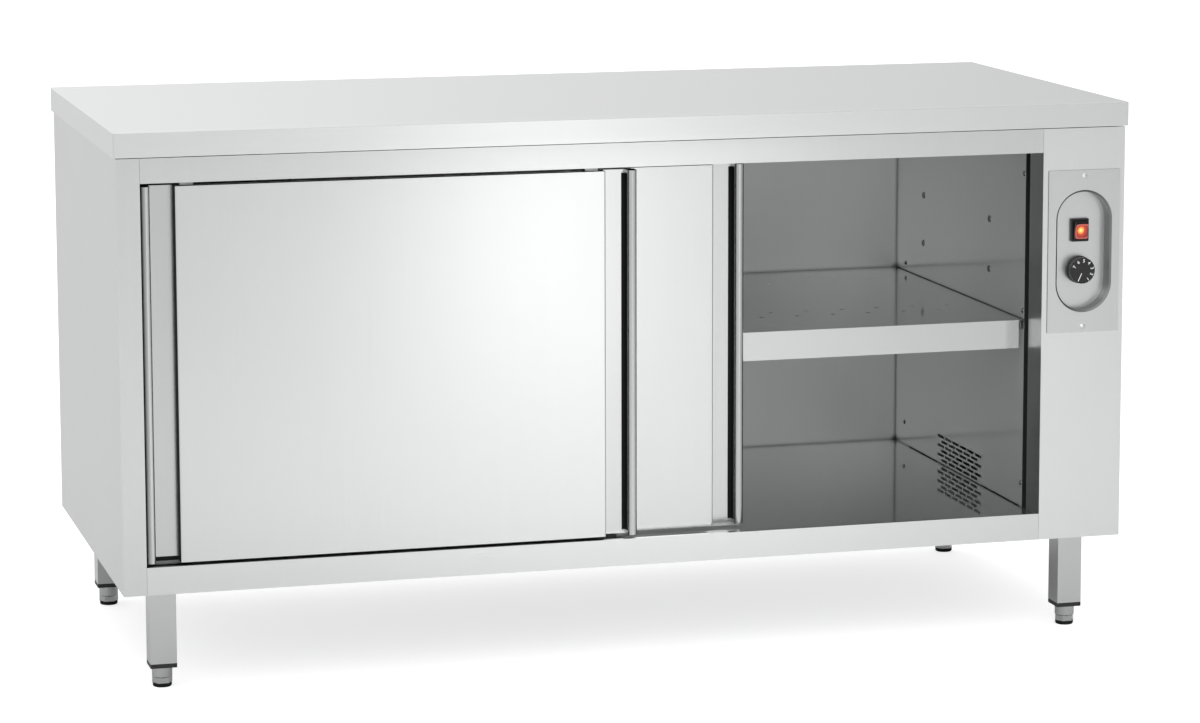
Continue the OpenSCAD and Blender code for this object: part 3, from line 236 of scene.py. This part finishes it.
def add_floor():
    """A floor that keeps the cabinet's shadow, white to the camera and greyer in mirrors."""
    bpy.ops.mesh.primitive_plane_add(size=FLOOR_SIZE)
    floor = bpy.context.object
    floor.name = "floor"
    made = bpy.data.materials.new("floor_white")
    made.use_nodes = True
    made.node_tree.nodes.clear()
    tree = Tree(made.node_tree)
    matte = tree.node("BsdfDiffuse", (FLOOR_GREY, FLOOR_GREY, FLOOR_GREY, 1))
    path = tree.node("LightPath").outputs
    mirrored = tree.maths("MAXIMUM", path["Is Glossy Ray"], path["Is Transmission Ray"])
    seen = tree.maths("MULTIPLY", path["Is Camera Ray"], FLOOR_SEEN)
    seen = tree.maths("ADD", seen, tree.maths("MULTIPLY", mirrored, FLOOR_MIRRORED))
    lift = tree.node("Emission", (1, 1, 1, 1), seen)
    tree.node("OutputMaterial", tree.node("AddShader", matte, lift))
    floor.data.materials.append(made)


def add_lamp(name, at, aim, size, watts, turn):
    """A soft box at one place, aimed at another and turned about its aim, that no camera sees."""
    data = bpy.data.lights.new(name, "AREA")
    data.shape = "RECTANGLE"
    data.size, data.size_y = size
    data.energy = watts
    lamp = bpy.data.objects.new(name, data)
    bpy.context.scene.collection.objects.link(lamp)
    lamp.location = at
    lamp.rotation_mode = "QUATERNION"
    aimed = (Vector(aim) - Vector(at)).to_track_quat("-Z", "Y")
    lamp.rotation_quaternion = aimed @ Quaternion((0, 0, 1), math.radians(turn))
    lamp.visible_camera = False


# ---------------------------------------------------------------- steel

# Noise scales across and along the grain, per metre, and of the smudges
GRAIN_FINE = 1400
GRAIN_LONG = 9
BAND_FINE = 200
BAND_LONG = 2.25
CLOUD_SCALE = 5

# How far grain, bands and smudges change the tone, and grain and smudges the roughness
GRAIN_TONE = 0.012
BAND_TONE = 0.004
CLOUD_DARK = 0.008
CLOUD_LIGHT = 0.006
GRAIN_ROUGH = 0.08
CLOUD_ROUGH = 0.22

# The part of a noise's range that a tone or roughness is spread over
NOISE_SPAN = (0.3, 0.7)
GRAIN_SPAN = (0.25, 0.75)
GRAIN_ROUGH_SPAN = (0.2, 0.8)
CLOUD_ROUGH_SPAN = (0.35, 0.75)

GRAIN_BUMP = 0.018
GRAIN_RELIEF = 0.2 * MM
STEEL_TINT = (0.985, 1.0, 0.995)
COAT_ROUGH = 0.04
COAT_IOR = 1.6

# The painted shade in a corner: its reach, the openness where it is darkest and gone, and its tone
CORNER_SHADE_REACH = 12 * MM
CORNER_SHADE_SPAN = (0.42, 0.66)
CORNER_SHADE_TONE = 0.12
CORNER_SHADE_SAMPLES = 6

# The tone, roughness and specular level of black parts, and of black painted as shade
BLACK_AND_SHADE_TONE = 0.018
BLACK_AND_SHADE_ROUGH = 0.7
BLACK_AND_SHADE_SPECULAR = 0.12


def along_grain(grain, fine, long):
    """The noise scales on X, Y and Z of a pattern that is drawn out along one of them."""
    return [long if axis == grain else fine for axis in "XYZ"]


def steel(name, grey, rough, grain, brushed=1.0, smudge=0.5, coat=0.0, metal=1.0,
          shade=None, black=None, corner_shade=False):
    """Stainless steel: a fine grain along one axis, soft smudges, and a clear sheen where coat is set.

    shade(tree) gives a factor of painted shade on its tone, and black(tree) a mask painted black, for black
    parts and for painted shade. Its corner flag draws painted shade, a dark line in the corners where
    sheets meet.
    """
    made, tree, shader = new_material(name)
    lines = tree.noise(1.0, 3.0, along_grain(grain, GRAIN_FINE, GRAIN_LONG))
    bands = tree.noise(1.0, 2.0, along_grain(grain, BAND_FINE, BAND_LONG))
    cloud = tree.noise(CLOUD_SCALE, 4.0, Roughness=0.6)
    changes = (
        tree.spread(lines, *GRAIN_SPAN, -GRAIN_TONE * brushed, GRAIN_TONE * brushed),
        tree.spread(bands, *NOISE_SPAN, -BAND_TONE * brushed, BAND_TONE * brushed),
        tree.spread(cloud, *NOISE_SPAN, -CLOUD_DARK * smudge, CLOUD_LIGHT * smudge),
    )
    tone = grey
    for change in changes:
        tone = tree.maths("ADD", change, tone)
    fine = tree.spread(lines, *GRAIN_ROUGH_SPAN, rough * (1 - GRAIN_ROUGH), rough * (1 + GRAIN_ROUGH))
    haze = tree.spread(cloud, *CLOUD_ROUGH_SPAN, 0.0, rough * CLOUD_ROUGH * smudge)
    polish = tree.maths("ADD", fine, haze)
    # A factor of painted shade on the tone
    if shade:
        tone = tree.maths("MULTIPLY", tone, shade(tree))
    # Painted shade: a dark line in the corners where sheets meet
    if corner_shade:
        near = tree.node("AmbientOcclusion", Distance=CORNER_SHADE_REACH, samples=CORNER_SHADE_SAMPLES)
        tone = tree.maths("MULTIPLY", tone, tree.spread(near.outputs["AO"], *CORNER_SHADE_SPAN, CORNER_SHADE_TONE, 1.0))
    # Painted black: black parts, and painted shade where gaps and grips lie in shadow
    if black:
        mask = black(tree)
        tone = tree.maths("MULTIPLY", tone, tree.spread(mask, 0, 1, 1.0, BLACK_AND_SHADE_TONE))
        polish = tree.mix("FLOAT", mask, polish, BLACK_AND_SHADE_ROUGH)
        tree.feed(shader, Metallic=tree.spread(mask, 0, 1, metal, 0.0), Specular_IOR_Level=BLACK_AND_SHADE_SPECULAR)
    else:
        tree.feed(shader, Metallic=metal)
    bump = tree.node("Bump", Strength=GRAIN_BUMP * brushed, Distance=GRAIN_RELIEF, Height=lines)
    tree.feed(shader, Base_Color=tree.tinted(tone, STEEL_TINT), Roughness=polish, Normal=bump)
    tree.feed(shader, Coat_Weight=coat, Coat_Roughness=COAT_ROUGH, Coat_IOR=COAT_IOR)
    return made


ZINC_GREY = (0.44, 0.56)
ZINC_ROUGH = (0.32, 0.5)
ZINC_TINT = (0.98, 1.0, 1.03)


def zinc():
    """Galvanised sheet with its faint crystal pattern."""
    made, tree, shader = new_material("zinc_steel")
    coords = tree.node("TexCoord").outputs["Object"]
    crystals = tree.node("TexVoronoi", coords, Scale=90.0)
    grey = tree.spread(crystals.outputs["Color"], 0, 1, *ZINC_GREY)
    rough = tree.spread(tree.noise(500.0, 3.0), *NOISE_SPAN, *ZINC_ROUGH)
    tree.feed(shader, Base_Color=tree.tinted(grey, ZINC_TINT), Metallic=1, Roughness=rough)
    return made


# ---------------------------------------------------------------- plastic, wool and the lamp

MOULD_SCALE = 900
MOULD_CLOUD = 60
MOULD_ROUGH = 0.2
MOULD_SPECULAR = 0.25

WOOL_SCALES = (300, 300, 60)
WOOL_DARK = (0.42, 0.33, 0.14)
WOOL_PALE = (0.72, 0.62, 0.36)

# The lit rocker, in halves of its width and height from its middle
WINDOW_AT = (0.14, -0.12)
WINDOW_POWER = 5.0
WINDOW_EDGE = (0.82, 0.88)
# The painted highlight along the window's edge: where it lies, how soft it is, and its colour
LENS_EDGE_HIGHLIGHT = (0.70, 0.80)
LENS_EDGE_HIGHLIGHT_SOFT = 0.04
LENS_EDGE_HIGHLIGHT_COLOUR = (0.34, 0.07, 0.055, 1)
GLOW_AT = (-0.02, 0.02)
GLOW_STOPS = ((0.0, (1.0, 0.72, 0.24)), (0.24, (1.0, 0.36, 0.06)),
              (0.44, (0.42, 0.035, 0.012)), (0.85, (0.16, 0.008, 0.004)))
GLOW_STRENGTH = 0.7
ROCKER_COLOUR = (0.012, 0.012, 0.012, 1)


def plastic(name, colour, rough, speckle=0.15):
    """Moulded plastic or rubber with a fine spark-eroded texture."""
    made, tree, shader = new_material(name)
    texture = tree.noise(MOULD_SCALE, 2.0)
    level = tree.spread(tree.noise(MOULD_CLOUD, 2.0), *NOISE_SPAN, 1 - speckle, 1 + speckle)
    polish = tree.spread(texture, *NOISE_SPAN, rough * (1 - MOULD_ROUGH), rough * (1 + MOULD_ROUGH))
    bump = tree.node("Bump", Strength=0.15, Distance=0.1 * MM, Height=texture)
    tree.feed(shader, Base_Color=tree.tinted(level, colour), Roughness=polish, Normal=bump,
              Specular_IOR_Level=MOULD_SPECULAR)
    return made


def wool():
    """Mineral wool board: pale, fibrous and dull."""
    made, tree, shader = new_material("mineral_wool")
    fibre = tree.noise(1.0, 4.0, WOOL_SCALES)
    colour = tree.ramp(fibre, (0.0, WOOL_DARK), (1.0, WOOL_PALE))
    bump = tree.node("Bump", Strength=0.6, Distance=1 * MM, Height=fibre)
    tree.feed(shader, Base_Color=colour, Roughness=0.95, Normal=bump)
    return made


def lamp_lens(node):
    """The lit rocker: black, with a red window whose lamp glows yellow in the middle, and a painted
    highlight along the window's edge.
    """
    low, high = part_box(node)
    made, tree, shader = new_material("lit_lens")
    place = tree.axes("Object")
    across = tree.spread(place["X"], low.x, high.x, -1, 1)
    along = tree.spread(place["Z"], low.z, high.z, -1, 1)
    window = tree.squared_off(across, along, WINDOW_AT, WINDOW_POWER)
    glow = tree.ramp(tree.squared_off(across, along, GLOW_AT, 2.0), *GLOW_STOPS)
    # A painted highlight along the window's edge
    highlighted = tree.mix("RGBA", tree.inside(window, *LENS_EDGE_HIGHLIGHT, LENS_EDGE_HIGHLIGHT_SOFT), glow, LENS_EDGE_HIGHLIGHT_COLOUR)
    lit = tree.spread(window, *WINDOW_EDGE, 1, 0)
    lens = tree.mix("RGBA", lit, ROCKER_COLOUR, highlighted)
    strength = tree.maths("MULTIPLY", lit, GLOW_STRENGTH)
    tree.feed(shader, Base_Color=lens, Emission_Color=lens, Emission_Strength=strength)
    tree.feed(shader, Roughness=0.2, Coat_Weight=0.3)
    return made


# ---------------------------------------------------------------- masks and shades

# The grips of the doors, measured in from a door's side edge or back from its front
BAR_D = 14.5 * MM
GRIP_END = BAR_D + 36 * MM
GRIP_DEPTH = 20 * MM
FRONT_SKIN = (0.4 * MM, 1 * MM)
BAR_FLANK = (BAR_D - 1.5 * MM, BAR_D + 0.5 * MM)
BAR_BACK = (0.42 * BAR_D, 0.5 * BAR_D)
GRIP_WALL = (GRIP_END - 1 * MM, GRIP_END + 3 * MM)
GRIP_FLOOR = (GRIP_DEPTH - 1 * MM, GRIP_DEPTH - 0.5 * MM)
# How far the painted shade beside a bar reaches, how far short of a door's ends it stops, and how soft its
# edges are
PAINTED_SHADE_REACH = 6 * MM
PAINTED_SHADE_END = 6 * MM
PAINTED_SHADE_SOFT = 1 * MM

# How far a face has to look sideways or upwards to be painted black as shade
SIDEWAYS = (0.3, 0.6)
UPWARDS = (0.6, 0.8)

# The painted shade of each bar's outer edge, how far in it fades out, and the painted shade of each grip
LEFT_BAR_EDGE_SHADE = 0.3
LEFT_BAR_FADE = 0.6 * BAR_D
RIGHT_BAR_EDGE_SHADE = 0.66
RIGHT_BAR_FADE = 0.8 * BAR_D
LEFT_GRIP_SHADE = 0.86
RIGHT_GRIP_SHADE = 0.90

# How far a face looks forwards where the duct panel is painted black as shade, and upwards where a shelf
# has painted shade
FORWARDS = (0.6, 0.8)
SHELF_TOP = (0.4, 0.9)
SHELF_TOP_SHADE = 0.42

SOLE_H = 6.2 * MM
SOLE_SOFT = 0.3 * MM

# The recess's painted shade and painted highlight by how far its surface faces forwards, and the tone of
# its flat floor
RECESS_SHADE_STOPS = ((0.0, 0.30), (0.25, 0.2), (0.4, 0.3), (0.6, 0.2), (0.8, 0.42), (0.92, 1.0),
                (0.985, 0.88), (1.0, 0.88))
RECESS_FLAT = 0.88


def from_ends(tree, low, high):
    """How far a point of a door lies in from its left edge, its right edge and the nearer one."""
    place = tree.axes("Object")
    from_left = tree.maths("SUBTRACT", place["X"], low.x)
    from_right = tree.maths("SUBTRACT", high.x, place["X"])
    return from_left, from_right, tree.maths("MINIMUM", from_left, from_right)


def door_lining(node):
    """Painted shade on a door, painted black where it lies in shadow: beside its right-hand bar, on its
    grip walls and its upper end.
    """
    low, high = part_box(node)
    lowest = low.z + PAINTED_SHADE_END
    highest = high.z - PAINTED_SHADE_END

    def mask(tree):
        place, turn = tree.axes("Object"), tree.axes("Normal")
        from_left, from_right, inward = from_ends(tree, low, high)
        depth = tree.maths("SUBTRACT", place["Y"], low.y)
        deep = tree.spread(depth, *FRONT_SKIN, 0, 1)
        sideways = tree.spread(tree.maths("ABSOLUTE", turn["X"]), *SIDEWAYS, 0, 1)
        strip = tree.both(tree.inside(from_right, BAR_D, BAR_D + PAINTED_SHADE_REACH),
                          tree.spread(depth, *GRIP_FLOOR, 0, 1))
        flank = tree.both(tree.inside(from_right, *BAR_FLANK), sideways,
                          tree.spread(depth, *BAR_BACK, 0, 1))
        length = tree.inside(place["Z"], lowest, highest, PAINTED_SHADE_SOFT)
        grip = tree.both(length, tree.either(strip, flank))
        wall = tree.both(tree.inside(inward, *GRIP_WALL), sideways, deep)
        top = tree.spread(turn["Z"], *UPWARDS, 0, 1)
        foot = tree.both(tree.inside(from_left, BAR_FLANK[1], GRIP_END), deep,
                         tree.spread(place["Z"], lowest, lowest + PAINTED_SHADE_SOFT, 1, 0))
        return tree.either(grip, wall, top, foot)
    return mask


def grip_shade(node):
    """Painted shade on a door's grips: each bar darkens towards its outer edge, and each grip is darker."""
    low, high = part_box(node)

    def factor(tree):
        from_left, from_right = from_ends(tree, low, high)[:2]
        left_bar = tree.spread(from_left, 0.0, LEFT_BAR_FADE, LEFT_BAR_EDGE_SHADE, 1.0)
        right_bar = tree.spread(from_right, 0.0, RIGHT_BAR_FADE, RIGHT_BAR_EDGE_SHADE, 1.0)
        left = tree.spread(from_left, GRIP_END, GRIP_END + PAINTED_SHADE_SOFT, LEFT_GRIP_SHADE, 1.0)
        right = tree.spread(from_right, GRIP_END, GRIP_END + PAINTED_SHADE_SOFT, RIGHT_GRIP_SHADE, 1.0)
        return tree.both(left_bar, right_bar, left, right)
    return factor


def duct_front(tree):
    """A mask of the duct panel's faces that look forwards, painted black as the shade behind the post."""
    forwards = tree.maths("MULTIPLY", tree.axes("Normal")["Y"], -1)
    return tree.spread(forwards, *FORWARDS, 0, 1)


def foot_sole(tree):
    """A mask of the black sole under a foot."""
    return tree.spread(tree.axes("Object")["Z"], SOLE_H - SOLE_SOFT, SOLE_H + SOLE_SOFT, 1, 0)


def upper_shade(tree):
    """Painted shade on a shelf's upper side: a darker, clearer tone."""
    return tree.spread(tree.axes("Normal")["Z"], *SHELF_TOP, 1.0, SHELF_TOP_SHADE)


def recess_shade(tree):
    """Painted shade on the recess's steep walls, darker and streaked, and a painted highlight along their
    foot.
    """
    level = tree.maths("ABSOLUTE", tree.axes("Normal")["Y"])
    tone = tree.ramp(level, *((place, (grey, grey, grey)) for place, grey in RECESS_SHADE_STOPS))
    return tree.maths("MULTIPLY", tone, 1 / RECESS_FLAT)


# ---------------------------------------------------------------- finishes


def finishes():
    """One material for each slot of the record."""
    return {
        "worktop_steel": steel("worktop_steel", grey=0.68, rough=0.24, grain="X"),
        "body_steel": steel("body_steel", grey=0.60, rough=0.24, grain="Z"),
        "door_steel": steel("door_steel", grey=0.61, rough=0.22, grain="Z"),
        "liner_steel": steel("liner_steel", grey=0.62, rough=0.3, grain="Z", brushed=0.4, metal=0.8,
                             corner_shade=True),
        "shelf_steel": steel("shelf_steel", grey=0.50, rough=0.14, grain="X", brushed=0.3, coat=0.6,
                             metal=0.85, corner_shade=True, shade=upper_shade),
        "polished_steel": steel("polished_steel", grey=0.38, rough=0.05, grain="X", brushed=0.2, coat=0.8,
                                metal=0.8, corner_shade=True),
        "plate_steel": steel("plate_steel", grey=0.58, rough=0.3, grain="X", brushed=0.5,
                             shade=recess_shade),
        "leg_steel": steel("leg_steel", grey=0.53, rough=0.22, grain="Z"),
        "foot_steel": steel("foot_steel", grey=0.45, rough=0.2, grain="Z", brushed=0.4, black=foot_sole),
        "zinc_steel": zinc(),
        "fastener_steel": steel("fastener_steel", grey=0.62, rough=0.1, grain="Z", brushed=0.3),
        "heater_steel": steel("heater_steel", grey=0.22, rough=0.5, grain="Y", brushed=0.5),
        "mineral_wool": wool(),
        "rubber": plastic("rubber", (0.02, 0.02, 0.02), rough=0.75),
        "nylon": plastic("nylon", (0.022, 0.022, 0.024), rough=0.45),
        "black_plastic": plastic("black_plastic", (0.018, 0.018, 0.019), rough=0.32),
        "knob_plastic": plastic("knob_plastic", (0.022, 0.022, 0.023), rough=0.34),
        "pale_plastic": plastic("pale_plastic", (0.58, 0.56, 0.49), rough=0.4, speckle=0.04),
        "lit_lens": lamp_lens("switch_rocker"),
    }


def own_finishes():
    """The nodes whose finish departs from the rest of their slot; several are lit or shaded copies with
    painted light or painted shade.
    """
    return {
        "door_left_skin": steel("door_left_steel", grey=0.61, rough=0.22, grain="Z",
                                shade=grip_shade("door_left_skin"), black=door_lining("door_left_skin")),
        # The rear door is a shaded copy of the door steel, darker by painted shade
        "door_right_skin": steel("door_right_shaded_steel", grey=0.56, rough=0.22, grain="Z",
                                 shade=grip_shade("door_right_skin"), black=door_lining("door_right_skin")),
        # The back wall is a shaded copy of the liner steel, darker by painted shade
        "liner_back": steel("back_wall_shaded_steel", grey=0.35, rough=0.34, grain="Z", brushed=0.5, metal=0.85,
                            corner_shade=True),
        # The duct panel is a lit copy of the steel, lighter by painted light, with its forward faces
        # painted black as shade
        "duct_panel": steel("duct_lit_steel", grey=0.96, rough=0.12, grain="Z", brushed=0.4, metal=0.8,
                            corner_shade=True, black=duct_front),
        # The control column is a lit copy of the steel, lighter by painted light
        "side_panel_right": steel("column_lit_steel", grey=0.68, rough=0.24, grain="Z"),
        # The bottom rail is a lit copy of the steel, lighter by painted light
        "bottom_rail": steel("rail_lit_steel", grey=0.63, rough=0.24, grain="X", corner_shade=True),
        # The door track is painted dark in place of its zinc, as the shade in the gap above the doors
        "door_track": steel("track_shaded_steel", grey=0.10, rough=0.5, grain="X"),
        # The shelf sockets are darkened as a painted dark reflection in their domes, under a clear coat
        "shelf_sockets": steel("socket_shaded_steel", grey=0.12, rough=0.1, grain="Z", brushed=0.3, coat=1.0),
    }


def dress():
    """Gives every CAD node the finish of its slot, or its own."""
    by_slot = finishes()
    own = own_finishes()
    for part in frame["record"]["subparts"]:
        name = part["node"]
        node = frame["nodes"][name]
        node.data.materials.clear()
        node.data.materials.append(own.get(name, by_slot[part["material_slot"]]))


# ---------------------------------------------------------------- dial marks

# The turns of the first number, of a step between two and of the pointer are in degrees
DIAL_MARKS = 7
DIAL_FIRST = 147
DIAL_STEP = -35.4
DIAL_RADIUS = 15.6 * MM
DIGIT_H = 7.2 * MM
DIGIT_T = 0.06 * MM
DIGIT_BOLD = 0.1 * MM
POINTER_TURN = 205.7
POINTER_FROM = 4.4 * MM
POINTER_TO = 18.3 * MM
POINTER_W = 1.3 * MM
POINTER_T = 0.5 * MM

INK_SCALE = 1500
INK_GREY = (0.78, 0.9)


def paint_white():
    """The white ink of the dial."""
    made, tree, shader = new_material("dial_white")
    grey = tree.spread(tree.noise(INK_SCALE, 2.0), *NOISE_SPAN, *INK_GREY)
    tree.feed(shader, Base_Color=tree.tinted(grey, (1, 1, 1)), Roughness=0.5)
    return made


def on_dial(turn, radius):
    """The matrix of a mark on the knob's face, upright away from the middle."""
    low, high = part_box("knob")
    middle = (low + high) / 2
    face = Vector((middle.x, low.y, middle.z))
    spin = Matrix.Rotation(math.radians(turn), 4, "Y")
    stand = Matrix.Rotation(math.radians(90), 4, "X")
    return Matrix.Translation(face) @ spin @ Matrix.Translation((0, 0, radius)) @ stand


def finish_mark(mark, material, turn, radius):
    """Turns a mark's curve or mesh into a placed mesh that rides on the knob."""
    mark.matrix_world = on_dial(turn, radius)
    bpy.context.view_layer.update()
    bpy.ops.object.select_all(action="DESELECT")
    mark.select_set(True)
    bpy.context.view_layer.objects.active = mark
    bpy.ops.object.convert(target="MESH")
    bpy.ops.object.transform_apply(location=True, rotation=True, scale=True)
    mark.data.materials.clear()
    mark.data.materials.append(material)
    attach(mark, "knob")


def add_digit(number, turn, material):
    """One dial number, its top away from the knob's middle."""
    text = bpy.data.curves.new(f"dial_number_{number}", "FONT")
    text.body = str(number)
    text.size = DIGIT_H
    text.extrude = DIGIT_T / 2
    text.offset = DIGIT_BOLD
    text.align_x = "CENTER"
    text.align_y = "CENTER"
    mark = bpy.data.objects.new(text.name, text)
    bpy.context.scene.collection.objects.link(mark)
    finish_mark(mark, material, turn, DIAL_RADIUS)


def add_pointer(material):
    """The white inlay in the knob's pointer groove, from the knob's face down."""
    bpy.ops.mesh.primitive_cube_add(size=1)
    mark = bpy.context.object
    mark.name = "dial_pointer"
    length = POINTER_TO - POINTER_FROM
    for vertex in mark.data.vertices:
        vertex.co.x *= POINTER_W
        vertex.co.y *= length
        vertex.co.z = (vertex.co.z - 0.5) * POINTER_T
    rounding = mark.modifiers.new("rounding", "BEVEL")
    rounding.width = POINTER_W / 4
    rounding.segments = 2
    finish_mark(mark, material, POINTER_TURN, (POINTER_FROM + POINTER_TO) / 2)


def add_dial():
    """Numbers and pointer of the thermostat knob."""
    white = paint_white()
    for index in range(DIAL_MARKS):
        add_digit(index + 1, DIAL_FIRST + DIAL_STEP * index, white)
    add_pointer(white)


# ---------------------------------------------------------------- the scene

add_camera()
add_world()
add_floor()
for lamp_name, lamp_values in LAMPS.items():
    add_lamp(lamp_name, **lamp_values)
dress()
add_dial()

bpy.context.scene.view_settings.view_transform = "Standard"
